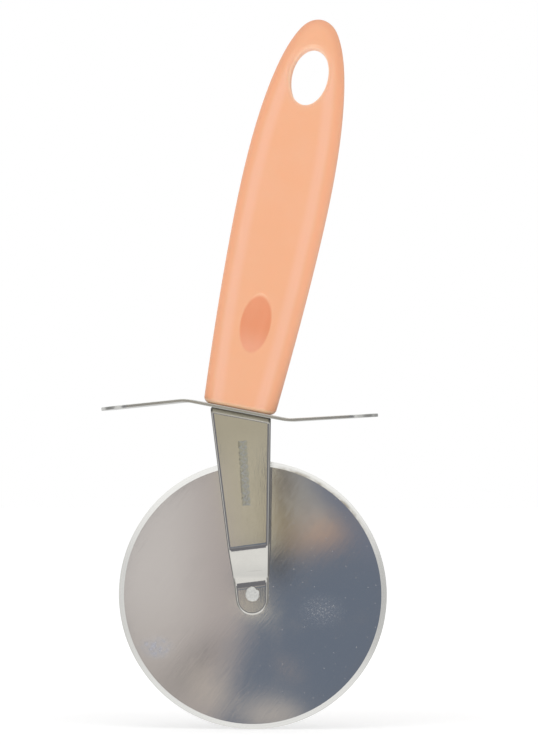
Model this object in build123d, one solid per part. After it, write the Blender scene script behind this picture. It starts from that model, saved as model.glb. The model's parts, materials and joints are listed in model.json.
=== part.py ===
from build123d import *
from math import cos, radians, sin
import os

# Pastry cutter wheel: a bevelled steel disc spins on a rivet between the jaws of a bent steel fork.
# A steel tang rivets the fork and a Z-shaped thumb guard to a moulded handle, which leans 15 degrees
# from the fork's middle line, in the plane of the disc. Millimetres, +Z up. The origin is on the board,
# straight below the axle; the disc stands on its edge and spins about Y; the front looks along -Y.

# Disc
WHEEL_RADIUS = 37.5
WHEEL_THICKNESS = 1.2
BEVEL_WIDTH = 1.5  # ground on both faces
EDGE_THICKNESS = 0.15
AXLE_HEIGHT = WHEEL_RADIUS

# Axle stack, out from the disc's middle plane
RIVET_RADIUS = 1.25
RIVET_HEAD_RADIUS = 2.2
RIVET_HEAD_HEIGHT = 0.8
RIVET_EDGE = 0.35  # rounding of the head's rim
RUNNING_GAP = 0.05  # each side of the disc, round the spacer and round the rivet
SPACER_RADIUS = 2.0
WASHER_RADIUS = 4.0
WASHER_THICKNESS = 0.5

# Fork: one sheet bent into an upside-down U, its arms stepped in to the disc
FORK_SHEET = 1.0
FORK_WIDTH = 12.0  # over both arms, along Y
FORK_LEAN = 3.2  # degrees that the arms' middle line leans towards -X
FORK_TAPER = 3.95  # degrees that each side edge opens upwards
REAR_NARROWING = 0.6  # how much nearer each side edge of the rear arm is to its middle
JAW_RADIUS = 4.75
JAW_DROP = 1.15  # centre of the rounded jaw below the axle
STEP_TOP = 13.3  # above the axle, along the arm
STEP_BOTTOM = 3.25
STEP_TOP_BEND = 4.5  # middle radius
STEP_BOTTOM_BEND = 8.0
WEB_BEND = 1.2
ARM_OVERLAP = 20.0  # how far the upper U reaches down the arms
SHEET_EDGE = 0.42  # rounding of the tumbled edges

# Thumb guard: one strip, bent twice, ends fully rounded
GUARD_SHEET = 0.9
GUARD_WIDTH = 16.0
GUARD_LEAN = 11.0  # degrees that the middle's normal leans towards +X; the tang follows it
GUARD_LEFT = 14.8  # from the tang to the left bend
GUARD_RIGHT = 14.35
LEFT_WING = 24.2
RIGHT_WING = 24.8
LEFT_ANGLE = 16.9  # between the left wing and the middle
RIGHT_ANGLE = 14.3
GUARD_BEND = 12.0
GUARD_EDGE = 0.15

# Handle: foot of its axis on the guard's top face, which cuts its end
HANDLE_FOOT = (-3.7, 0, 89.4)
HANDLE_LEAN = 12.05  # degrees towards +X
FOOT_SPARE = 1.0  # length of the blank below the foot, before the end is cut
HANDLE_LENGTH = 111.1
STATIONS_BELOW = 4  # outline points up to the belly
STATIONS_ABOVE = 7
FOOT_HALF_WIDTH = 9.95
BELLY_HALF_WIDTH = 12.5
BELLY = 59.0  # distance of the widest place from the foot
SWELL = 1.6  # exponent of the swelling from foot to belly
TIP_SHAPE = 2.27  # exponent of the tip's superellipse
SIDE_PROFILE = [(7.35, -1), (8.7, 45), (7.4, 78), (5.4, 98), (4.6, 120)]  # half thickness, distance
LONG_ROUND = 4.0
FOOT_ROUND = 1.8
HOLE_CENTRE = 94.6
HOLE_HALF_WIDTH = 5.25
HOLE_HALF_LENGTH = 8.15
HOLE_ROUND = 1.4
DIMPLE_CENTRE = 23.9
DIMPLE_FLOOR = 6.94  # deepest point, from the handle's middle plane
DIMPLE_ACROSS = 6.63  # radius of the floor across the handle
DIMPLE_ALONG = 24.5  # radius of the floor along the handle
DIMPLE_REACH = 12.0
DIMPLE_ROUND = 0.5

# Tang: round and grooved in the handle, a square tenon through guard and fork, peened underneath
TANG_RADIUS = 2.5
TANG_LENGTH = 66.0
TANG_POINT = 1.0
GROOVE_DEPTH = 0.4
GROOVE_HEIGHT = 1.6
GROOVES = [12.0, 24.0, 36.0, 48.0]
TENON = 4.0
TENON_GAP = 0.05  # each side, in the guard's hole and the fork's
PEEN_RADIUS = 3.2
PEEN_HEIGHT = 1.2
PEEN_ROUND = 0.95

REACH = 20.0  # half length of a cutter or blank, clear of the piece that it shapes
TIP_FLAT = 0.15  # half width of the flat that the guard's end rounding leaves
ACROSS = 0.1  # a face runs along an axis if its normal has less than this along it
FACING = 0.9  # and faces the axis if its normal has more than this
SPACER_LENGTH = WHEEL_THICKNESS + 2 * RUNNING_GAP
JAW_INSIDE = SPACER_LENGTH / 2 + WASHER_THICKNESS
JAW_OUTSIDE = JAW_INSIDE + FORK_SHEET
RIVET_BORE = RIVET_RADIUS + RUNNING_GAP

foot = Vector(*HANDLE_FOOT)
axle = Vector(0, 0, AXLE_HEIGHT)


def views(lean):
    """Three planes through the foot, for a piece that leans: seen from the front, the side and the end."""
    up = Vector(sin(radians(lean)), 0, cos(radians(lean)))
    side = Vector(cos(radians(lean)), 0, -sin(radians(lean)))
    front_view = Plane(origin=foot, x_dir=side, z_dir=(0, -1, 0))  # across, along
    side_view = Plane(origin=foot, x_dir=(0, -1, 0), z_dir=-side)  # towards the front, along
    end_view = Plane(origin=foot, x_dir=side, z_dir=up)
    return front_view, side_view, end_view


handle_front, handle_side, handle_top = views(HANDLE_LEAN)
guard_front, guard_side, guard_top = views(GUARD_LEAN)


def strip(corners, thickness, bends):
    """The face of a bent sheet seen edge-on, from its middle line's corners and the radius of each bend."""
    points = [Vector(*corner, 0) for corner in corners]
    runs = [(b - a).normalized() for a, b in zip(points, points[1:])]
    normals = [Vector(-run.Y, run.X, 0) for run in runs]
    edges = []
    ends = []
    for hand in (1, -1):
        shift = hand * thickness / 2
        line = [points[0] + normals[0] * shift]
        radii = []
        for i in range(1, len(runs)):
            mitre = (normals[i - 1] + normals[i]) / (1 + normals[i - 1].dot(normals[i]))
            line.append(points[i] + mitre * shift)
            turn = 1 if runs[i - 1].cross(runs[i]).Z > 0 else -1
            radii.append(bends[i - 1] - turn * shift)
        line.append(points[-1] + normals[-1] * shift)
        edges += FilletPolyline(*line, radius=radii).edges()
        ends.append((line[0], line[-1]))
    edges += [Line(ends[0][0], ends[1][0]).edge(), Line(ends[0][1], ends[1][1]).edge()]
    return make_face(edges)


def turned(points):
    """A solid turned about the axle's axis: points are (radius, distance towards the front)."""
    profile = Plane.XZ * make_face(Polyline(*points, close=True).edges())
    return Pos(*axle) * Rot(X=90) * revolve(profile, Axis.Z)


def ring(outer, inner, near, far):
    """A ring on the axle, or a disc if inner is 0, from near to far along Y towards the front."""
    return turned([(inner, near), (outer, near), (outer, far), (inner, far)])


def through(plane, face):
    """The prism of a flat drawing, running REACH to both sides of its plane."""
    return extrude(plane.offset(-REACH) * face, amount=2 * REACH)


def rims(faces):
    """The edges that only one of these faces has."""
    edges = [edge for face in faces for edge in face.edges()]
    return [edge for edge in edges if edges.count(edge) == 1]


def tenon_hole():
    """The square hole that the tang's tenon passes through, in the guard and the fork."""
    hole = TENON + 2 * TENON_GAP
    return guard_top * Box(hole, hole, TENON * 2)


def blade_wheel():
    half = WHEEL_THICKNESS / 2
    shoulder = WHEEL_RADIUS - BEVEL_WIDTH
    bore = SPACER_RADIUS + RUNNING_GAP
    edge = EDGE_THICKNESS / 2
    return turned(
        [
            (bore, -half),
            (shoulder, -half),
            (WHEEL_RADIUS, -edge),
            (WHEEL_RADIUS, edge),
            (shoulder, half),
            (bore, half),
        ]
    )


def axle_rivet():
    """The preformed head is at the front, the peened head at the back."""
    shank = ring(RIVET_RADIUS, 0, -JAW_OUTSIDE, JAW_OUTSIDE)
    head = ring(RIVET_HEAD_RADIUS, 0, JAW_OUTSIDE, JAW_OUTSIDE + RIVET_HEAD_HEIGHT)
    head = fillet(head.edges().sort_by(Axis.Y)[0], RIVET_EDGE)
    return shank + head + mirror(head, Plane.XZ)


def fork_outline(depth):
    """The fork's outline at a depth along Y: two slanting sides that run into the round jaw."""
    jaw = Vector(0, AXLE_HEIGHT - JAW_DROP)
    radius = JAW_RADIUS - REAR_NARROWING * (depth / FORK_WIDTH + 0.5)
    left_lean = radians(FORK_TAPER + FORK_LEAN)
    right_lean = radians(FORK_TAPER - FORK_LEAN)
    left_foot = jaw + Vector(-cos(left_lean), -sin(left_lean)) * radius
    right_foot = jaw + Vector(cos(right_lean), -sin(right_lean)) * radius
    reach = foot.Z - jaw.Y + GUARD_WIDTH
    left_top = left_foot + Vector(-sin(left_lean), cos(left_lean)) * reach
    right_top = right_foot + Vector(sin(right_lean), cos(right_lean)) * reach
    edges = [
        Line(left_top, left_foot),
        ThreePointArc(left_foot, jaw - Vector(0, radius), right_foot),
        Line(right_foot, right_top),
        Line(right_top, left_top),
    ]
    return Plane.XZ.offset(-depth) * make_face([line.edge() for line in edges])


def fork():
    """One stamping: the web under the guard, two arms, and a step in each arm above the jaws."""
    flat = (FORK_WIDTH - FORK_SHEET) / 2
    jaw = (JAW_INSIDE + JAW_OUTSIDE) / 2
    web = -GUARD_SHEET - FORK_SHEET / 2
    channel = [(-flat, web - ARM_OVERLAP), (-flat, web), (flat, web), (flat, web - ARM_OVERLAP)]
    upper = through(guard_side, strip(channel, FORK_SHEET, [WEB_BEND, WEB_BEND]))

    lean = radians(FORK_TAPER + FORK_LEAN)
    across = Vector(cos(lean), 0, sin(lean))
    arm_side = Plane(origin=axle, x_dir=(0, 1, 0), z_dir=across)
    join = foot.Z - AXLE_HEIGHT - ARM_OVERLAP / 2
    reach = -WHEEL_RADIUS / 2
    arms = []
    for hand in (1, -1):
        corners = [(hand * flat, join), (hand * flat, STEP_TOP)]
        corners += [(hand * jaw, STEP_BOTTOM), (hand * jaw, reach)]
        arms.append(through(arm_side, strip(corners, FORK_SHEET, [STEP_TOP_BEND, STEP_BOTTOM_BEND])))
    trim = loft([fork_outline(FORK_WIDTH), fork_outline(-FORK_WIDTH)], ruled=True)
    sheet = (upper + arms[0] + arms[1]) & trim
    level = [face for face in sheet.faces() if abs(face.normal_at().Y) < ACROSS]
    cut = [face for face in level if abs(face.normal_at().X) > FACING or face.center().Z < AXLE_HEIGHT]
    sheet = fillet(rims(cut), SHEET_EDGE)
    return sheet - ring(RIVET_BORE, 0, -FORK_WIDTH, FORK_WIDTH) - tenon_hole()


def thumb_guard():
    """The middle lies under the handle; the left wing drops and the right wing rises."""
    middle = -GUARD_SHEET / 2
    left_run = Vector(cos(radians(LEFT_ANGLE)), sin(radians(LEFT_ANGLE)))
    right_run = Vector(cos(radians(RIGHT_ANGLE)), sin(radians(RIGHT_ANGLE)))
    left_bend = Vector(-GUARD_LEFT, middle)
    right_bend = Vector(GUARD_RIGHT, middle)
    left_tip = left_bend - left_run * LEFT_WING
    right_tip = right_bend + right_run * RIGHT_WING
    corners = [(corner.X, corner.Y) for corner in (left_tip, left_bend, right_bend, right_tip)]
    face = guard_front * strip(corners, GUARD_SHEET, [GUARD_BEND, GUARD_BEND])
    guard = extrude(face, amount=GUARD_WIDTH / 2, both=True)
    ends = guard.faces().sort_by(Axis.X)
    end_edges = ends[0].edges() + ends[-1].edges()
    corner_edges = end_edges.filter_by(lambda edge: edge.length < 2 * GUARD_SHEET)
    guard = fillet(corner_edges, GUARD_WIDTH / 2 - TIP_FLAT)
    ends = guard.faces().sort_by(Axis.X)
    cut = [face for face in guard.faces() if abs(face.normal_at().Y) > ACROSS]
    cut += [ends[0], ends[-1]]
    guard = fillet(rims(cut), GUARD_EDGE)
    return guard - tenon_hole()


def half_width(along):
    """Half the handle's width at a distance from its foot."""
    if along < BELLY:
        return BELLY_HALF_WIDTH - (BELLY_HALF_WIDTH - FOOT_HALF_WIDTH) * (1 - along / BELLY) ** SWELL
    share = (along - BELLY) / (HANDLE_LENGTH - BELLY)
    return BELLY_HALF_WIDTH * (1 - share**TIP_SHAPE) ** (1 / TIP_SHAPE)


def handle_blank():
    """Where the front outline and the side profile cross, cut by the guard's top face."""
    stations = [-FOOT_SPARE] + [BELLY * i / STATIONS_BELOW for i in range(STATIONS_BELOW)]
    turns = [radians(90 * i / STATIONS_ABOVE) for i in range(STATIONS_ABOVE)]
    stations += [BELLY + (HANDLE_LENGTH - BELLY) * sin(turn) ** (2 / TIP_SHAPE) for turn in turns]
    right = [(half_width(along), along) for along in stations] + [(0, HANDLE_LENGTH)]
    left = [(-width, along) for width, along in reversed(right[:-1])]
    outline = Spline(*right, *left)
    base = Line(outline @ 1, outline @ 0)
    planform = through(handle_front, make_face([outline.edge(), base.edge()]))

    front = Spline(*SIDE_PROFILE)
    back = Spline(*[(-depth, along) for depth, along in SIDE_PROFILE])
    top = Line(front @ 1, back @ 1)
    bottom = Line(back @ 0, front @ 0)
    profile = make_face([line.edge() for line in (front, back, top, bottom)])
    return split(planform & through(handle_side, profile), bisect_by=guard_top, keep=Keep.TOP)


def dimple(hand):
    """The spindle that scoops the thumb dimple out of the front face (hand 1) or the rear one (-1)."""
    end = Vector(DIMPLE_ACROSS - DIMPLE_ALONG + (DIMPLE_ALONG**2 - DIMPLE_REACH**2) ** 0.5, DIMPLE_REACH)
    skin = ThreePointArc((end.X, -end.Y), (DIMPLE_ACROSS, 0), end)
    rest = Polyline(end, (0, end.Y), (0, -end.Y), (end.X, -end.Y))
    spindle = revolve(Plane.XZ * make_face(skin.edges() + rest.edges()), Axis.Z)
    return handle_top * Pos(0, -hand * (DIMPLE_FLOOR + DIMPLE_ACROSS), DIMPLE_CENTRE) * spindle


def handle():
    """A one-piece moulding with a hanging hole, a thumb dimple on each face and the tang's socket."""
    body = handle_blank()
    long_edges = body.edges().filter_by(lambda edge: edge.length > HANDLE_LENGTH)
    body = fillet(long_edges, LONG_ROUND)
    foot_face = body.faces().sort_by(Axis(foot, guard_top.z_dir))[0]
    body = fillet(foot_face.edges(), FOOT_ROUND)
    smooth = body.edges()
    body -= through(handle_front, Pos(0, HOLE_CENTRE) * Ellipse(HOLE_HALF_WIDTH, HOLE_HALF_LENGTH))
    rim = [edge for edge in body.edges() - smooth if abs(edge.center().Y) > HOLE_ROUND]
    body = fillet(rim, HOLE_ROUND)
    smooth = body.edges()
    body -= dimple(1) + dimple(-1)
    body = fillet(body.edges() - smooth, DIMPLE_ROUND)
    return body - guard_top * tang_rod()


def tang_rod():
    """Points are (radius, distance up from the guard's top face)."""
    profile = [(0, 0), (TANG_RADIUS, 0)]
    bottom = TANG_RADIUS - GROOVE_DEPTH
    for groove in GROOVES:
        end = groove + GROOVE_HEIGHT
        profile += [(TANG_RADIUS, groove), (bottom, groove + GROOVE_DEPTH)]
        profile += [(bottom, end - GROOVE_DEPTH), (TANG_RADIUS, end)]
    profile += [(TANG_RADIUS, TANG_LENGTH - TANG_POINT), (TANG_RADIUS - TANG_POINT, TANG_LENGTH)]
    profile += [(0, TANG_LENGTH)]
    return revolve(Plane.XZ * make_face(Polyline(*profile, close=True).edges()), Axis.Z)


def tang():
    """The rod in the handle, with the square tenon below it and the head peened from the tenon's end."""
    stack = GUARD_SHEET + FORK_SHEET
    tenon = Pos(0, 0, -stack / 2) * Box(TENON, TENON, stack)
    peen = Pos(0, 0, -stack - PEEN_HEIGHT / 2) * Cylinder(PEEN_RADIUS, PEEN_HEIGHT)
    peen = fillet(peen.edges().sort_by(Axis.Z)[0], PEEN_ROUND)
    return guard_top * (tang_rod() + tenon + peen)


def main():
    os.makedirs("parts", exist_ok=True)
    half = SPACER_LENGTH / 2
    nodes = {
        "blade_wheel": blade_wheel(),
        "spacer_bush": ring(SPACER_RADIUS, RIVET_BORE, -half, half),
        "front_washer": ring(WASHER_RADIUS, RIVET_BORE, half, JAW_INSIDE),
        "rear_washer": ring(WASHER_RADIUS, RIVET_BORE, -JAW_INSIDE, -half),
        "axle_rivet": axle_rivet(),
        "fork": fork(),
        "thumb_guard": thumb_guard(),
        "handle": handle(),
        "tang": tang(),
    }
    for name, shape in nodes.items():
        export_step(shape, f"parts/{name}.step")
        print(name, "volume", round(shape.volume, 1))


main()
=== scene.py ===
# %% [markdown]
# # A pastry wheel on a white table
# The cutter is a steel disc that spins between the jaws of a bent fork. A Z-shaped guard keeps the
# thumb off the blade, and a peach plastic handle leans over it. The machine shop's model arrives as
# a fixed frame: every part is already in its place and at its size. What is left for Blender is the
# part that a drawing can't say: how satin steel, ground steel and moulded plastic look.
#
# Blender could also model the parts again from nothing, but they would drift away from the real
# ones. So the shapes stay, their materials are made here, and only the peened rivet, whose charm is
# that it is irregular, gets a new mesh.

# %% Load the frame
import bpy
import json
import math
from math import cos, pi, radians, sin
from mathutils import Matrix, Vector, noise


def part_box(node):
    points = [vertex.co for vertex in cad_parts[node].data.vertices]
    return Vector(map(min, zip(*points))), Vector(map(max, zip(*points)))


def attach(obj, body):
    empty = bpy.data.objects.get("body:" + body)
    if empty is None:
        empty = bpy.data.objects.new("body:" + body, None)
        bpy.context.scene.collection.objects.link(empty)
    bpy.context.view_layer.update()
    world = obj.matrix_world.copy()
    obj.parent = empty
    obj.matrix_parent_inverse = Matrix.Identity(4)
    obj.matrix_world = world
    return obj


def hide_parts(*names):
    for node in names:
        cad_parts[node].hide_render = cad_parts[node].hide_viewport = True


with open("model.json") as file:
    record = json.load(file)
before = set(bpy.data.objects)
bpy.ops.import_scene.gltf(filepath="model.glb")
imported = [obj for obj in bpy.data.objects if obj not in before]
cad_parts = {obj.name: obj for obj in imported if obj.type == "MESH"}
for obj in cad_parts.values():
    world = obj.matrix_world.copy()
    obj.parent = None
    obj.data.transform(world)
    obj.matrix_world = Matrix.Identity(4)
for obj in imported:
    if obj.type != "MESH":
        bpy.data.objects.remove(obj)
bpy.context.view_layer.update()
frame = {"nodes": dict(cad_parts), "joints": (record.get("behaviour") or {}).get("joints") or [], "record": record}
nodes = frame["nodes"]
MM = 0.001
print("nodes:", sorted(nodes))

# %% [markdown]
# ## Where things are
# A few points are worth a name, because the finishes and the lights are placed by them. They are
# read from the frame: the axle is the hinge of the one joint, the disc's radius is half its box, the
# rivet's box says how far its heads reach, and the hanging hole is one of the places that the record
# names.

# %% Landmarks
axle = Vector(frame["joints"][0]["pos_m"])
disc_low, disc_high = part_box("blade_wheel")
disc_radius = (disc_high.x - disc_low.x) / 2
rivet_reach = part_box("axle_rivet")[1].y
mounts = {mount["name"]: Vector(mount["pos_m"]) for mount in frame["record"]["mounts"]}
hang_hole = mounts["hang_hole"]
print("axle height in mm:", round(axle.z / MM, 2))
print("disc radius in mm:", round(disc_radius / MM, 2))
print("rivet's half length in mm:", round(rivet_reach / MM, 2))

# %% [markdown]
# ## The camera
# A long lens from about a metre away flattens the cutter as a catalogue picture does. The camera
# stands a little to the right and just above the disc's top, so the guard is seen almost edge-on. It
# looks at a point in the disc's plane, and the lens is worked out from the height of the picture at
# that distance.

# %% Camera
DISTANCE = 1.0
YAW = radians(3.2)
CAMERA_HEIGHT = 0.082
PICTURE_HEIGHT = 0.2079
PICTURE_CENTRE = (0.0046, 0, 0.0997)
SENSOR = 36.0

target = Vector(PICTURE_CENTRE)
rise = CAMERA_HEIGHT - target.z
reach = math.sqrt(DISTANCE**2 - rise**2)
camera_data = bpy.data.cameras.new("camera")
camera = bpy.data.objects.new("camera", camera_data)
bpy.context.scene.collection.objects.link(camera)
camera.location = target + Vector((sin(YAW) * reach, -cos(YAW) * reach, rise))
camera.rotation_mode = "QUATERNION"
camera.rotation_quaternion = (target - camera.location).to_track_quat("-Z", "Y")
camera_data.sensor_width = SENSOR
camera_data.lens = SENSOR * DISTANCE / PICTURE_HEIGHT
camera_data.clip_end = 20
bpy.context.scene.camera = camera
bpy.context.scene.view_settings.view_transform = "Standard"
print("lens in mm:", round(camera_data.lens, 1))
print("camera at", [round(part, 3) for part in camera.location])

# %% [markdown]
# ## A helper for shader sums
# A shader is a graph of small nodes. Drawn by hand it is a lot of wires, and written out in Python
# it is a lot of lines. The class `Wire` stands for one wire: sums on wires add the Math nodes, so
# `1 - mask * 0.5` reads as it would on paper. Colours need Mix nodes instead, because a Math node
# would turn them grey. The class `Graph` holds the one method that adds any node, and it works for a
# material and for the world alike.

# %% Wires
class Wire:
    """One output of a shader node. Sums on it add Math nodes."""

    def __init__(self, graph, socket):
        self.graph = graph
        self.socket = socket

    def math(self, operation, *values):
        return self.graph.node("ShaderNodeMath", {"operation": operation}, dict(enumerate(values)))

    def __add__(self, other):
        return self.math("ADD", self, other)

    def __sub__(self, other):
        return self.math("SUBTRACT", self, other)

    def __mul__(self, other):
        return self.math("MULTIPLY", self, other)

    def __radd__(self, other):
        return self.math("ADD", other, self)

    def __rsub__(self, other):
        return self.math("SUBTRACT", other, self)

    def __rmul__(self, other):
        return self.math("MULTIPLY", other, self)

    def __abs__(self):
        return self.math("ABSOLUTE", self)

    def root(self):
        return self.math("SQRT", self)

    def lowest(self, other):
        return self.math("MINIMUM", self, other)

    def highest(self, other):
        return self.math("MAXIMUM", self, other)

    def step(self, low, high):
        """0 below low and 1 above high, with a smooth ramp between; high may be the smaller one."""
        settings = {"interpolation_type": "SMOOTHSTEP"}
        if high < low:
            return 1 - self.step(high, low)
        return self.graph.node("ShaderNodeMapRange", settings, {"Value": self, 1: low, 2: high})


# %% Graphs and finishes
class Graph:
    """A node tree, and the one method that adds any node to it."""

    def __init__(self, tree):
        self.tree = tree

    def node(self, kind, settings=None, sockets=None, out=0):
        """Adds a node, sets it up, fills or links its sockets, and returns one of its outputs."""
        made = self.tree.nodes.new(kind)
        for name, value in (settings or {}).items():
            setattr(made, name, value)
        for key, value in (sockets or {}).items():
            self.fill(made.inputs[key], value)
        return Wire(self, made.outputs[out])

    def fill(self, socket, value):
        if isinstance(value, Wire):
            self.tree.links.new(value.socket, socket)
        else:
            socket.default_value = value

    def axes(self, place):
        """The three numbers of a place as wires."""
        return [self.node("ShaderNodeSeparateXYZ", {}, {0: place}, out=i) for i in range(3)]

    def join(self, x, y, z):
        return self.node("ShaderNodeCombineXYZ", {}, {0: x, 1: y, 2: z})

    def noise(self, place, scale, detail=3.0, roughness=0.5):
        sockets = {"Vector": place, "Scale": scale, "Detail": detail, "Roughness": roughness}
        return self.node("ShaderNodeTexNoise", {}, sockets)

    def mix(self, factor, first, second):
        """Between two colours: first where the factor is 0, second where it is 1."""
        settings = {"data_type": "RGBA"}
        return self.node("ShaderNodeMix", settings, {0: factor, 6: first, 7: second}, out=2)

    def oval(self, across, along, width, height, turn=0.0, soft=0.5):
        """1 inside an oval of these half sizes round the zero of two wires, and 0 outside it."""
        turned_across = across * cos(turn) + along * sin(turn)
        turned_along = along * cos(turn) - across * sin(turn)
        first = turned_across * (1 / width)
        second = turned_along * (1 / height)
        return (first * first + second * second).root().step(1 + soft, 1 - soft)


class Finish(Graph):
    """A new material with its main shader."""

    def __init__(self, name, **constants):
        self.material = bpy.data.materials.new(name)
        self.material.use_nodes = True
        super().__init__(self.material.node_tree)
        self.shader = self.tree.nodes["Principled BSDF"]
        for socket, value in constants.items():
            self.shader.inputs[socket.replace("_", " ")].default_value = value

    def drive(self, **sockets):
        """Links or sets sockets of the main shader."""
        for socket, value in sockets.items():
            self.fill(self.shader.inputs[socket.replace("_", " ")], value)

    def place(self, scale=(1, 1, 1)):
        """Where we are on the piece, in millimetres, stretched if a pattern should be."""
        here = self.node("ShaderNodeTexCoord", out="Object")
        sizes = tuple(part / MM for part in scale)
        return self.node("ShaderNodeVectorMath", {"operation": "MULTIPLY"}, {0: here, 1: sizes})

    def bump(self, height, distance, under=None):
        """Lets a height from 0 to 1 tilt the surface. Distance is the full height in metres."""
        sockets = {"Height": height, "Distance": distance}
        if under:
            sockets["Normal"] = under
        return self.node("ShaderNodeBump", {}, sockets)


# %% Colours and dressing
def light_of(part):
    """One part of a screen colour, 0 to 255, as the amount of light that the sRGB standard gives it."""
    share = part / 255
    return share / 12.92 if share < 0.04045 else ((share + 0.055) / 1.055) ** 2.4


def tone(red, green, blue):
    """A colour as an eye reads it on a screen, turned into the light that Blender mixes."""
    return (light_of(red), light_of(green), light_of(blue), 1)


def dress(finish, *names):
    """Gives a finish to CAD nodes, in place of the plain one that they came with."""
    for name in names:
        nodes[name].data.materials.clear()
        nodes[name].data.materials.append(finish.material)
    print(finish.material.name, "on", ", ".join(names), "with", len(finish.tree.nodes), "nodes")


print("helpers ready")

# %% [markdown]
# ## The studio walls
# Steel has hardly a colour of its own: it shows the room. So most of the work on the metal is done
# by what stands round it. The walls are white where the camera looks, and the light that falls on
# the plastic comes evenly from all sides. Only mirrors see that the walls to the left and right are
# darker: that gives every rounded edge its thin grey line. A little grey hangs at the back as well,
# so that the disc's other face has something to show. The numbers say how much light a mirror misses
# there, and how much more it finds in the ceiling.

# %% World
DIFFUSE_LIGHT = 0.5
SIDE_WALLS = 0.68
LEFT_CORNER = 0.14
RIGHT_CORNER = 0.38
CEILING = 0.15
BACK_WALL = 0.6
world = bpy.data.worlds.new("studio")
bpy.context.scene.world = world
world.use_nodes = True
studio = Graph(world.node_tree)
direction = studio.node("ShaderNodeTexCoord", out="Generated")
wall_x, wall_y, wall_z = studio.axes(direction)
side_walls = wall_y.step(-0.62, -0.42) * wall_y.step(0.5, 0.2) * abs(wall_z).step(0.85, 0.5)
back_wall = wall_y.step(0.25, 0.6) * (0.4 + (wall_x * 1.2 + wall_z).step(-0.5, 0.5) * 0.6)
front_corners = wall_x.step(0.35, 0.58) * RIGHT_CORNER + wall_x.step(-0.35, -0.58) * LEFT_CORNER
front_corners = front_corners * abs(wall_z + 0.08).step(0.4, 0.2) * wall_y.step(0.1, -0.1)
mirrored = 1 - side_walls * SIDE_WALLS - back_wall * BACK_WALL
mirrored = mirrored * (1 - front_corners * (1 - side_walls)) + wall_z.step(0.2, 0.5) * CEILING
on_plastic = studio.node("ShaderNodeLightPath", out="Is Diffuse Ray")
in_camera = studio.node("ShaderNodeLightPath", out="Is Camera Ray")
unseen = mirrored * (1 - on_plastic) + on_plastic * DIFFUSE_LIGHT
background = world.node_tree.nodes["Background"]
background.inputs["Color"].default_value = (1, 1, 1, 1)
studio.fill(background.inputs["Strength"], unseen * (1 - in_camera) + in_camera)
print("world of", len(world.node_tree.nodes), "nodes")

# %% [markdown]
# ## Lamps and table
# Three soft lamps stand to the front left, the front right and above. The table is white paper that
# glows a little, because one lit by lamps alone turns grey towards the horizon. It glows less near
# the place where the disc stands, so that the disc still throws a faint shadow there. Mirrors don't
# see it: they look through it at the white wall below, which keeps the disc's lower half free of
# glare.

# %% Lamps
# Each lamp has its place, its width and height in metres, and its power in watts.
LAMPS = {
    "lamp_left": ((-0.55, -0.62, 0.35), 0.35, 0.7, 0.96),
    "lamp_right": ((0.60, -0.55, 0.30), 0.30, 0.7, 0.79),
    "lamp_top": ((0.0, -0.15, 0.85), 0.6, 0.5, 1.34),
}


def lamp(name, place, width, height, power):
    """A soft rectangular lamp that faces the cutter's middle and that the camera doesn't see."""
    data = bpy.data.lights.new(name, "AREA")
    data.shape = "RECTANGLE"
    data.size = width
    data.size_y = height
    data.energy = power
    made = bpy.data.objects.new(name, data)
    bpy.context.scene.collection.objects.link(made)
    made.location = place
    made.rotation_mode = "QUATERNION"
    made.rotation_quaternion = (Vector(place) - target).to_track_quat("Z", "Y")
    made.visible_camera = False
    made.visible_glossy = False


for name, (place, width, height, power) in LAMPS.items():
    lamp(name, place, width, height, power)
print(len(LAMPS), "lamps")

# %% Table
NEAR_GLOW = 0.345
FAR_GLOW = 0.53
GLOW_GROWS = (60, 200)
TABLE_SIZE = 6
TABLE_DROP = 0.00002


def grey(amount):
    return (amount, amount, amount, 1)


paper = Finish("table_paper", Roughness=0.9, Emission_Strength=1.0)
fibres = paper.noise(paper.place(), 0.02)
paper.drive(Base_Color=paper.mix(fibres, grey(0.93), grey(0.96)))
sheet_x, sheet_y = paper.axes(paper.place())[:2]
from_contact = (sheet_x * sheet_x + sheet_y * sheet_y).root()
paper.drive(Emission_Color=paper.mix(from_contact.step(*GLOW_GROWS), grey(NEAR_GLOW), grey(FAR_GLOW)))
bpy.ops.mesh.primitive_plane_add(size=TABLE_SIZE, location=(0, 0, -TABLE_DROP))
table = bpy.context.object
table.name = "table"
table.data.materials.append(paper.material)
table.visible_glossy = False
print("table of", TABLE_SIZE, "m with", len(paper.tree.nodes), "nodes")

# %% [markdown]
# ## The card that the blade mirrors
# A satin disc is nearly a mirror, so it needs something to look at. A round card stands in front of
# the cutter, out of the camera's sight. It glows, and its colours are painted reflections for the disc
# and the fork: warm grey on the left and blue grey on the right, with a few soft patches, one of them
# a painted shadow beside the jaw, and a dark rim that draws the lines in the fork's bends. The places
# on it are given as the places on the disc where they show, measured from the axle. That is how a
# card is moved in a studio: by looking at the blade and not at the card.

# %% Card coordinates
CARD_DISTANCE = 0.35
CARD_RADIUS = 0.195
CARD_CORNERS = 64
card_finish = Finish("card")
card_x, _, card_z = card_finish.axes(card_finish.place())
share = CARD_DISTANCE / -camera.location.y
shown_x = (card_x + share * camera.location.x / MM) * (1 / (1 + share)) - axle.x / MM
shown_z = (card_z + share * camera.location.z / MM) * (1 / (1 + share)) - axle.z / MM
shown_radius = (shown_x * shown_x + shown_z * shown_z).root()


def patch(x, z, width, height, turn=0.0, soft=0.5):
    """1 inside a soft oval that shows round a place on the disc, in mm from the axle."""
    return card_finish.oval(shown_x - x, shown_z - z, width, height, radians(turn), soft)


print("card at", CARD_DISTANCE, "m shows", round(CARD_RADIUS / (1 + share) / MM), "mm round the axle")

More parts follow.
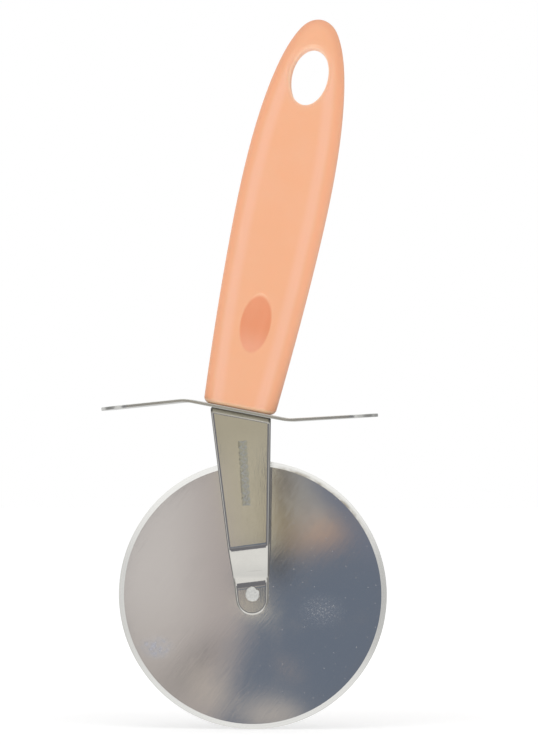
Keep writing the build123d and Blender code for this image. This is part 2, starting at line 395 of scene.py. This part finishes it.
# %% Card's two halves
below_hub = (shown_z + 6).lowest(0)
border = shown_x + 1.6 - below_hub * 0.276
dark_half = (border * 0.25).step(-0.35, 0.35)
warm = card_finish.mix(shown_z.step(-34, 8), tone(168, 161, 156), tone(190, 185, 182))
warm = card_finish.mix(shown_x.step(-26, -6), warm, tone(166, 158, 155))
glow = card_finish.mix(dark_half, warm, tone(100, 109, 123))
print("two halves with", len(card_finish.tree.nodes), "nodes")

# %% [markdown]
# The fork's front is flat as well, so it shows a part of the same card, over the places that the disc
# above the jaw would show. That part has its own colour, a warm khaki in the outline of the fork: a
# slanted left edge, an upright right one, and more width at the top, where the sheet bends back.

# %% Card's part for the fork
SHOULDER = 38
wider_top = (shown_z - SHOULDER).highest(0) * 0.9
fork_left = (shown_x + 4.9 + (shown_z - 13) * 0.19 + wider_top).step(-0.6, 0.6)
fork_right = (5.6 - shown_x + wider_top).step(-0.6, 0.6)
khaki = card_finish.mix(shown_x.step(-1, 5), tone(175, 169, 152), tone(192, 186, 168))
khaki = card_finish.mix(shown_z.step(36, 48), khaki, tone(166, 160, 144))
fork_front = fork_left * fork_right * shown_z.step(11.5, 13.5) * shown_z.step(92, 80)
outer_band = shown_radius.step(31, 33.5) * shown_x.step(12, 20) * shown_z.step(6, 14)
rim_ring = shown_radius.step(38.5, 41.5)
top_bar = shown_z.step(46.5, 49) * shown_z.step(61, 58)
print("khaki part up to here with", len(card_finish.tree.nodes), "nodes")

# %% Card's patches
PATCHES = {
    "streak low on the left": (patch(-15.5, -18.5, 9, 2.6, turn=45, soft=0.8), tone(114, 110, 110)),
    "end of that streak": (patch(-20, -24, 4, 4, turn=45, soft=0.8), tone(144, 139, 136)),
    "light under it": (patch(-12, -26, 4.5, 6, turn=20, soft=0.8), tone(176, 168, 160)),
    "light at the bottom": (patch(5.4, -33.5, 8.5, 4.4, soft=0.5), tone(174, 168, 162)),
    "spot on the blue half": (patch(9.9, -20.4, 1.8, 2.2, soft=0.8), tone(150, 141, 137)),
    "grey up on the right": (patch(13.5, 26.5, 9.5, 10, turn=-15, soft=0.4), tone(156, 154, 149)),
    "peach under it": (patch(18.8, 17, 7.6, 3.4, turn=20, soft=0.6), tone(178, 150, 130)),
    "tail of the peach": (patch(13.5, 13.5, 4, 2.4, turn=20, soft=0.8), tone(150, 136, 126)),
    "ochre beside the fork": (patch(8.2, 21, 2.0, 11, soft=0.7), tone(112, 92, 30)),
    "brown over the ochre": (patch(7.8, 31, 2.6, 7, soft=0.7), tone(64, 50, 32)),
    # A painted shadow: a dark patch that shows on the disc beside the fork's jaw.
    "painted shadow beside the jaw": (patch(6.6, 9.5, 2.0, 6, soft=0.6), tone(56, 54, 52)),
    "band near the rim": (outer_band, tone(108, 114, 128)),
    "dark ring outside the disc": (rim_ring, tone(110, 110, 116)),
    "bar for the fork's top bend": (top_bar, tone(118, 118, 119)),
    "fork's front": (fork_front, khaki),
    "fork's jaw": (patch(0.2, -1, 4.2, 4.6, soft=0.3), tone(134, 132, 128)),
    "light low on the jaw": (patch(0.2, -3.8, 4.2, 1.9, soft=0.4), tone(212, 204, 187)),
    "grey high on the jaw": (patch(0.2, 3.6, 4.6, 1.8, soft=0.4), tone(124, 125, 130)),
}
for mask, colour in PATCHES.values():
    glow = card_finish.mix(mask, glow, colour)
print(len(PATCHES), "patches")

# %% Card
CARD_LIGHT = 1.45
card_finish.tree.nodes.remove(card_finish.shader)
emission = card_finish.node("ShaderNodeEmission", {}, {"Color": glow, "Strength": CARD_LIGHT})
card_finish.fill(card_finish.tree.nodes["Material Output"].inputs["Surface"], emission)
card_centre_x = axle.x * (1 + share) - share * camera.location.x
card_centre_z = axle.z * (1 + share) - share * camera.location.z


def card_corner(turn):
    across = card_centre_x + cos(turn) * CARD_RADIUS
    return (across, -CARD_DISTANCE, card_centre_z + sin(turn) * CARD_RADIUS)


card_corners = [card_corner(2 * pi * i / CARD_CORNERS) for i in range(CARD_CORNERS)]
card_mesh = bpy.data.meshes.new("card")
card_mesh.from_pydata(card_corners, [], [tuple(range(CARD_CORNERS))])
card_mesh.materials.append(card_finish.material)
card = bpy.data.objects.new("card", card_mesh)
bpy.context.scene.collection.objects.link(card)
card.visible_camera = False
card.visible_diffuse = False
card.visible_shadow = False
print("card of", round(2 * CARD_RADIUS, 2), "m across with", len(card_finish.tree.nodes), "nodes")

# %% [markdown]
# ## Moulded plastic
# The handle is polypropylene: one bright colour all through, with a skin that copies the fine
# sparking of the steel mould. Its colour still carries painted shade and light. Painted shade deepens
# the colour where the skin turns away from the front, and in the hollow for the thumb, which the mould
# leaves smoother; the hollow's low end is paler, where light falls. A painted highlight runs as a pale
# band inside the outline, with a deeper band of painted shade outside it. Painted light makes the
# hanging hole's rim and walls and the foot's underside paler. A faint line along both sides is where
# the halves of the mould met.
#
# The normal of the surface tells the faces from the sides, and two sums turn the place into
# distances across the handle and along it, so the finish follows its lean. How far a place is from
# the outline comes from the handle's half width, which is widest at the belly.

# %% Handle places
HANDLE_LEAN = radians(12.05)
HOLE_FROM_FOOT = 94.6
BELLY = 57.0
BELLY_HALF_WIDTH = 12.85
BELLY_CURVE = 0.000806
TIP_TAPER = 0.0000306
HOLE_HALF_WIDTH = 5.25
HOLE_HALF_LENGTH = 8.15
HOLE_ROUNDING = 1.2
HOLE_ZONE = 2.6
DIMPLE_BELOW_HOLE = 70.7
DIMPLE_HALF_WIDTH = 4.15
DIMPLE_HALF_LENGTH = 8.0
plastic = Finish(
    "peach_plastic",
    Subsurface_Weight=0.12,
    Subsurface_Radius=(0.003, 0.0012, 0.0007),
    Subsurface_Scale=0.3,
    IOR=1.46,
)
here = plastic.place()
place_x, place_y, place_z = plastic.axes(here)
from_hole_x = place_x - hang_hole.x / MM
from_hole_z = place_z - hang_hole.z / MM
across = from_hole_x * cos(HANDLE_LEAN) - from_hole_z * sin(HANDLE_LEAN)
along = from_hole_x * sin(HANDLE_LEAN) + from_hole_z * cos(HANDLE_LEAN)
normal_x, normal_y, normal_z = plastic.axes(plastic.node("ShaderNodeTexCoord", out="Normal"))
from_foot = along + HOLE_FROM_FOOT
below_dimple = along + DIMPLE_BELOW_HOLE
beyond_belly = from_foot - BELLY
above_belly = beyond_belly.highest(0)
half_width = BELLY_HALF_WIDTH - beyond_belly * beyond_belly * BELLY_CURVE
half_width = half_width - above_belly * above_belly * above_belly * TIP_TAPER
inward = half_width - abs(across)
print("places on the handle with", len(plastic.tree.nodes), "nodes")

# %% Handle zones
turned_away = abs(normal_y).step(0.97, 0.72)
turned_down = (normal_z * cos(HANDLE_LEAN) + normal_x * sin(HANDLE_LEAN)).step(-0.15, -0.7)
hollow = plastic.oval(across, below_dimple, DIMPLE_HALF_WIDTH, DIMPLE_HALF_LENGTH, soft=0.07)
low_hollow = below_dimple.step(0, -7)


def round_the_hole(extra, soft):
    """1 in the hanging hole and as far round it as the extra says."""
    return plastic.oval(across, along, HOLE_HALF_WIDTH + extra, HOLE_HALF_LENGTH + extra, soft=soft)


near_hole = round_the_hole(HOLE_ROUNDING, 0.15)
# Painted highlight: a pale band inside the handle's outline, where the rounding would catch light.
highlight_band = inward.step(2.2, 3.9) * inward.step(6.8, 4.7) * from_foot.step(104, 94)
# Painted shade: a deeper band along the handle's outline, where the skin turns away from the front.
band = inward.step(3.1, 1.7) * inward.step(-0.5, 0.6) * (1 - round_the_hole(HOLE_ZONE, 0.12) * 0.8)
seam = abs(place_y).step(0.16, 0.06)
print("zones with", len(plastic.tree.nodes), "nodes")

# %% Handle colours
clouds = plastic.noise(here, 0.08, detail=4)
skin = plastic.noise(here, 3.0, detail=2)
peach = plastic.mix(clouds.step(0.35, 0.7), tone(242, 178, 138), tone(242, 180, 142))
peach = plastic.mix(highlight_band * 0.8, peach, tone(245, 187, 157))
peach = plastic.mix(band, peach, tone(246, 177, 137))
# Painted shade: skin turned away from the front looks deeper near the tip.
peach = plastic.mix(turned_away * from_foot.step(90, 100), peach, tone(243, 175, 136))
# Painted light: the foot's downward-turned skin is paler, in place of the shade that it gets.
peach = plastic.mix(turned_down, peach, tone(252, 208, 172))
# Painted light: the rim and the walls of the hanging hole are paler.
peach = plastic.mix(near_hole * (0.4 + turned_away * 0.6), peach, tone(243, 191, 158))
peach = plastic.mix(near_hole * abs(normal_y).step(0.85, 0.35), peach, tone(255, 216, 186))
# Painted shade deepens the thumb hollow's colour, less so at its low end, where light falls.
deep = plastic.mix(low_hollow, tone(234, 154, 114), tone(238, 166, 133))
peach = plastic.mix(hollow, peach, deep)
peach = plastic.mix(seam * 0.35, peach, tone(226, 150, 112))
plastic.drive(Base_Color=peach, Roughness=0.42 + skin * 0.1 - hollow * 0.08)
plastic.drive(Normal=plastic.bump(skin - seam * 0.8, 0.03 * MM))
dress(plastic, "handle")

# %% [markdown]
# ## Rolled and ground steel
# The disc is punched from rolled sheet: satin, with faint lines in the direction of rolling, a few
# smudges from dough and fingers, and specks of flour dust. Its bevel is ground on a spinning wheel,
# so the lines there run round the rim. One material does both, because the distance from the axle
# tells them apart. A part of the bevel has a faint straw tinge, a painted reflection. Dust is what
# keeps a mirror from looking like a drawing: it is made with a Voronoi pattern, a field of random
# cells, of which only some get a speck. A small cloud of finer specks and one dried stain make the
# disc look used.

# %% Blade grain
BEVEL = 1.5
BEVEL_LINE = 0.04
GRAIN = radians(52)
blade = Finish("blade_steel")
here = blade.place()
place_x, place_y, place_z = blade.axes(here)
across = place_x - axle.x / MM
upward = place_z - axle.z / MM
radius = (across * across + upward * upward).root()
rim = disc_radius / MM
bevel = radius.step(rim - BEVEL - BEVEL_LINE, rim - BEVEL + BEVEL_LINE)
with_grain = across * cos(GRAIN) + upward * sin(GRAIN)
over_grain = upward * cos(GRAIN) - across * sin(GRAIN)
rolled = blade.noise(blade.join(with_grain * 0.08, place_y, over_grain * 4), 1.5, detail=4)
turn = upward.math("ARCTAN2", upward, across)
ground = blade.noise(blade.join(turn * 2, radius * 5, place_y), 1.5, detail=3)
smudges = blade.noise(here, 0.09, detail=5).step(0.52, 0.72)
print("grain with", len(blade.tree.nodes), "nodes")

# %% Dust and stain
FILM = 0.34
CLOUD_CENTRE = (19.4, -4.3)
STAIN_CENTRE = (-27, -14.7)
flat = blade.join(across, upward, 0)


def specks(cells, size, share):
    """Round specks of dust: how many cells there are per mm, and what share of them has a speck."""
    settings = {"voronoi_dimensions": "2D"}
    sockets = {"Vector": flat, "Scale": cells}
    far = blade.node("ShaderNodeTexVoronoi", settings, sockets, out="Distance")
    draw = blade.axes(blade.node("ShaderNodeTexVoronoi", settings, sockets, out="Color"))[0]
    return far.step(size, size * 0.4) * draw.step(1 - share, 1 - share + 0.01)


dust = specks(0.34, 0.06, 0.42) * across.step(-34, 14) * blade.noise(here, 0.5).step(0.3, 0.65)
cloud = blade.oval(across - CLOUD_CENTRE[0], upward - CLOUD_CENTRE[1], 4.6, 3.4, soft=0.8)
dust = dust + specks(1.2, 0.36, 0.6) * cloud * 0.3 + cloud * 0.1
stain = blade.oval(across - STAIN_CENTRE[0], upward - STAIN_CENTRE[1], 4.0, 2.6, soft=0.6)
stain = stain * (0.35 + blade.noise(here, 0.8, detail=4).step(0.35, 0.65) * 0.65)
film = (dust + stain) * FILM * (1 - bevel)
print("dust and stain with", len(blade.tree.nodes), "nodes")

# %% Blade metal
metal = blade.mix(rolled, tone(213, 212, 211), tone(221, 220, 218))
metal = blade.mix(ground * bevel, metal, tone(238, 238, 233))
# Painted reflection: a darker warm straw tinge on the upper right of the bevel.
straw = bevel * turn.step(0.35, 0.75) * turn.step(1.5, 1.2) * radius.step(rim - 0.3, rim - BEVEL)
straw = straw * (0.3 + blade.noise(here, 0.4, detail=3).step(0.35, 0.65) * 0.6)
metal = blade.mix(straw, metal, tone(150, 143, 128))
metal = blade.mix(film, metal, blade.mix(stain, tone(236, 236, 236), tone(214, 222, 250)))
blade.drive(Base_Color=metal, Metallic=1 - film)
satin = 0.06 + rolled * 0.02 + smudges * 0.04 + film * 0.5
blade.drive(Roughness=satin + bevel * (0.12 + ground * 0.1))
blade.drive(Normal=blade.bump(rolled * (1 - bevel) + ground * bevel * 2, 0.003 * MM))
dress(blade, "blade_wheel")

# %% [markdown]
# ## The fork's satin sheet
# The fork is stamped from satin stainless sheet, tumbled in a drum so that its edges are rolled over
# a little, and marked on the front. Painted shade darkens the sheet's sides above the tab. The mark
# here is a dull column with a plain chain of lozenges in it: where we are along the chain is folded
# with a triangle wave, and the sum of two distances from the middle is a lozenge. The lines of the
# chain are a little brighter and rougher than the column, and they are worn away in places.

# %% Fork mark
MARK_CENTRE = (-1.8, 71.5)
MARK_LEAN = radians(3.6)
MARK_LENGTH = 18.0
MARK_HALF_WIDTH = 1.25
MARK_PITCH = 1.8
fork = Finish("fork_steel")
here = fork.place()
place_x, place_y, place_z = fork.axes(here)
from_mark_x = place_x - MARK_CENTRE[0]
from_mark_z = place_z - MARK_CENTRE[1]
mark_across = from_mark_x * cos(MARK_LEAN) + from_mark_z * sin(MARK_LEAN)
mark_along = from_mark_z * cos(MARK_LEAN) - from_mark_x * sin(MARK_LEAN)
folded = mark_along.math("PINGPONG", mark_along, MARK_PITCH / 2) * (2 / MARK_PITCH)
lozenge = abs(mark_across) * (1 / MARK_HALF_WIDTH) + folded
line = lozenge.step(1.15, 0.85) * lozenge.step(0.2, 0.45)
half_chain = MARK_LENGTH / 2
inside = abs(mark_along).step(half_chain + 0.1, half_chain - 0.1) * place_y.step(-5, -5.4)
worn = fork.noise(here, 1.3, detail=5).step(0.36, 0.56)
mark = line * inside * (0.25 + worn * 0.6)
ragged = abs(mark_across) + worn * 0.25
column = ragged.step(1.35, 1.05) * inside
dull_side = abs(mark_across + 1.15).step(0.35, 0.1) * inside * worn
print("mark with", len(fork.tree.nodes), "nodes")

# %% [markdown]
# Tumbling rolls the edges over a little, and a rolled-over edge shows as a thin grey line, because
# it mirrors another part of the room. The CAD model's edges are sharp, so the finish tilts the
# surface there. For that it needs the distance to the nearest edge: two slanted lines down the
# sides, and a circle round the jaw.

# %% Fork edges
JAW_CENTRE = 36.35
JAW_RADIUS = 4.75
LEFT_SLANT = radians(7.15)
RIGHT_SLANT = radians(0.75)
ROLL = 0.85
TAB_ROLL = 0.2
ROLL_SLOPE = 0.17
RIM = 0.8
RIM_SLOPE = 0.28
jaw_z = place_z - JAW_CENTRE
left_edge = JAW_RADIUS + place_x * cos(LEFT_SLANT) + jaw_z * sin(LEFT_SLANT)
right_edge = JAW_RADIUS - place_x * cos(RIGHT_SLANT) + jaw_z * sin(RIGHT_SLANT)
below_jaw = jaw_z.lowest(0)
round_edge = JAW_RADIUS - (place_x * place_x + below_jaw * below_jaw).root()
inward = left_edge.lowest(right_edge)
in_jaw = jaw_z.step(0.2, -0.2)
inward = inward * (1 - in_jaw) + round_edge * in_jaw
on_tab = place_z.step(43, 42)
front_face = place_y.step(-1.6, -1.8)
rolled_over = (ROLL + on_tab * TAB_ROLL - inward).highest(0) * ROLL_SLOPE
rim = inward.step(RIM + 0.05, RIM - 0.05) * (RIM - inward) * on_tab * RIM_SLOPE
normal_x, normal_y, _ = fork.axes(fork.node("ShaderNodeTexCoord", out="Normal"))
edges = abs(normal_y).step(0.9, 0.55) * abs(normal_x).step(0.3, 0.6)
print("edges with", len(fork.tree.nodes), "nodes")

# %% [markdown]
# Where the sheet is bent hard at the top, its skin is stretched and no longer a mirror: it is matt
# and a little khaki, with painted shade in the corners where the bend meets the sides. The step over
# the jaw is a little darker than the sheet above it, and one short scratch crosses the tab below the
# step.

# %% Fork metal
BEND_SLOPE = 0.184
BEND_BELOW = 86.0
BEND_BLEND = 0.9
SCRATCH_CENTRE = (0.9, 44.3)
SCRATCH_HALF_LENGTH = 1.9
SCRATCH_HALF_WIDTH = 0.13
SCRATCH_TURN = radians(5)
stretched = (place_z + place_x * BEND_SLOPE).step(BEND_BELOW, BEND_BELOW + BEND_BLEND)
darker_step = place_z.step(48, 43) * (1 - on_tab)
scratch = fork.oval(
    place_x - SCRATCH_CENTRE[0],
    place_z - SCRATCH_CENTRE[1],
    SCRATCH_HALF_LENGTH,
    SCRATCH_HALF_WIDTH,
    turn=SCRATCH_TURN,
    soft=0.6,
)
speckle = fork.noise(here, 2.5, detail=3)
rolled = fork.noise(fork.place(scale=(2, 1, 0.15)), 2.0, detail=4)
blotches = fork.noise(here, 0.25, detail=4)
metal = fork.mix(speckle * 0.6 + blotches * 0.4, tone(206, 204, 198), tone(222, 220, 214))
# Painted shade: the sheet's sides, turned left and right, are darker above the tab.
metal = fork.mix(edges * (1 - on_tab), metal, tone(146, 145, 148))
metal = fork.mix(column * 0.8, metal, tone(190, 195, 195))
metal = fork.mix(dull_side * 0.7, metal, tone(156, 159, 157))
metal = fork.mix(mark, metal, tone(216, 221, 223))
metal = fork.mix(scratch * front_face * 0.4, metal, tone(176, 174, 170))
# The step over the jaw is a little darker than the sheet above it.
metal = fork.mix(darker_step * 0.5, metal, tone(194, 193, 189))
metal = fork.mix(stretched, metal, tone(184, 178, 160))
# Painted shade: the corners where the top bend meets the sides are darker.
metal = fork.mix(stretched * inward.step(0.9, 0.4), metal, tone(112, 110, 106))
fork.drive(Base_Color=metal, Metallic=1 - stretched * 0.6)
fork.drive(Roughness=0.055 + speckle * 0.03 + blotches * 0.02 + mark * 0.15 + stretched * 0.4)
grain = fork.bump(speckle * 0.4 + rolled * 0.6 - mark * 0.9, 0.008 * MM)
fork.drive(Normal=fork.bump((rolled_over + rim) * front_face * -1, MM, under=grain))
dress(fork, "fork")

# %% [markdown]
# ## The guard
# The guard is the same sheet as the fork with a brighter skin, and it is handled more, so it has
# small scratches that run along it. A noise stretched in one direction gives those.

# %% Guard
guard = Finish("guard_steel", Metallic=1.0)
here = guard.place()
scratches = guard.noise(guard.place(scale=(0.15, 3, 1)), 2.5, detail=4)
blotches = guard.noise(here, 0.3, detail=4)
metal = guard.mix(blotches, tone(208, 208, 204), tone(226, 226, 222))
guard.drive(Base_Color=metal, Roughness=0.16 + blotches * 0.08 + scratches * 0.05)
guard.drive(Normal=guard.bump(scratches, 0.01 * MM))
dress(guard, "thumb_guard")

# %% [markdown]
# ## The steel inside
# The tang, the washers and the bush are plain turned and stamped steel, and hardly show.

# %% Inner steel
inner = Finish("plain_steel", Metallic=1.0)
speckle = inner.noise(inner.place(), 2.0, detail=3)
metal = inner.mix(speckle, tone(188, 186, 180), tone(208, 206, 200))
inner.drive(Base_Color=metal, Roughness=0.3 + speckle * 0.1)
dress(inner, "tang", "front_washer", "rear_washer", "spacer_bush")

# %% [markdown]
# ## The peened rivet
# A rivet is closed with a hammer or a press, so its head is never quite round or quite in the
# middle. The CAD model has a neat one, and this mesh stands for it. It is one closed skin made of
# rings from the front pole over the shank to the rear pole. Each ring is nearly a circle, and the
# rings of the heads are pushed in and out by a smooth noise and by one notch where metal chipped.

# %% Rivet mesh
RIVET_CORNERS = 48
SHANK_RADIUS = 1.25 * MM
HEAD_RADIUS = 1.98 * MM
HEAD_HEIGHT = 0.8 * MM
# The rings of a head from its pole to the jaw, as shares of the head's radius and height.
HEAD_RINGS = [
    (0.3, 0.96),
    (0.6, 0.97),
    (0.8, 0.93),
    (0.93, 0.78),
    (0.99, 0.5),
    (1.0, 0.22),
    (0.97, 0.0),
]
FRONT_SHIFT = (0.1 * MM, 0.28 * MM)
REAR_SHIFT = (-0.1 * MM, 0.05 * MM)
FRONT_SEED = 3.7
REAR_SEED = 8.2
NOTCH_DEPTH = 0.2
NOTCH_TURN = radians(52)
NOTCH_WIDTH = radians(13)


def outline(turn, seed, notch):
    """How far a head reaches at an angle, as a share of its radius."""
    wave = noise.noise(Vector((cos(turn) * 2.2, sin(turn) * 2.2, seed)))
    bite = math.exp(-(((turn - NOTCH_TURN) / NOTCH_WIDTH) ** 2))
    return (1 + 0.09 * wave) * (1 + 0.05 * sin(turn) ** 2) * (1 - notch * bite)


def ring(y, reach, shift=(0, 0)):
    """Points round the axle at one y; reach turns an angle into a distance from the middle."""
    turns = [2 * pi * i / RIVET_CORNERS for i in range(RIVET_CORNERS)]
    middle = Vector((axle.x + shift[0], y, axle.z + shift[1]))
    return [middle + Vector((cos(turn), 0, sin(turn))) * reach(turn) for turn in turns]


def head_rings(hand, shift, seed, notch):
    """The rings of a head from its pole; hand is -1 for the front head and 1 for the rear."""
    rings = []
    for radius_share, height_share in HEAD_RINGS:
        y = hand * (rivet_reach - HEAD_HEIGHT * (1 - height_share))
        radius = HEAD_RADIUS * radius_share
        depth = notch * radius_share
        rings.append(ring(y, lambda turn: radius * outline(turn, seed, depth), shift))
    return rings


def shank_ring(hand):
    return ring(hand * (rivet_reach - HEAD_HEIGHT), lambda turn: SHANK_RADIUS)


front = head_rings(-1, FRONT_SHIFT, FRONT_SEED, NOTCH_DEPTH)
rear = head_rings(1, REAR_SHIFT, REAR_SEED, 0.0)
rings = front + [shank_ring(-1), shank_ring(1)] + rear[::-1]
print(len(rings), "rings of", RIVET_CORNERS, "points")

# %% [markdown]
# Neighbouring rings are joined by a belt of four-cornered faces, and each end is closed by a fan of
# triangles round a new point in its middle. That makes one closed skin.

# %% Rivet skin
points = [point for one_ring in rings for point in one_ring]
faces = []
for belt in range(len(rings) - 1):
    first, second = belt * RIVET_CORNERS, (belt + 1) * RIVET_CORNERS
    for i in range(RIVET_CORNERS):
        j = (i + 1) % RIVET_CORNERS
        faces.append((first + i, first + j, second + j, second + i))
for end, order in ((0, 1), (len(rings) - 1, -1)):
    loop = [end * RIVET_CORNERS + i for i in range(RIVET_CORNERS)][::order]
    points.append(sum((points[i] for i in loop), Vector()) / RIVET_CORNERS)
    faces += [(b, a, len(points) - 1) for a, b in zip(loop, loop[1:] + loop[:1])]
rivet_mesh = bpy.data.meshes.new("peened_rivet")
rivet_mesh.from_pydata(points, [], faces)
rivet_mesh.update()
for face in rivet_mesh.polygons:
    face.use_smooth = True
rivet = bpy.data.objects.new("peened_rivet", rivet_mesh)
bpy.context.scene.collection.objects.link(rivet)
print("rivet of", len(rivet_mesh.polygons), "faces")

# %% Rivet finish
peened = Finish("rivet_steel")
here = peened.place()
dents = peened.noise(here, 1.7, detail=4)
speckle = peened.noise(here, 6.0, detail=3)
metal = peened.mix(dents, tone(208, 208, 204), tone(240, 240, 236))
peened.drive(Base_Color=metal, Metallic=0.5 + speckle * 0.1, Roughness=0.4 + speckle * 0.12)
peened.drive(Normal=peened.bump(dents * 0.8 + speckle * 0.2, 0.3 * MM))
rivet_mesh.materials.append(peened.material)
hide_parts("axle_rivet")
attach(rivet, "frame")
print("rivet stands for axle_rivet")
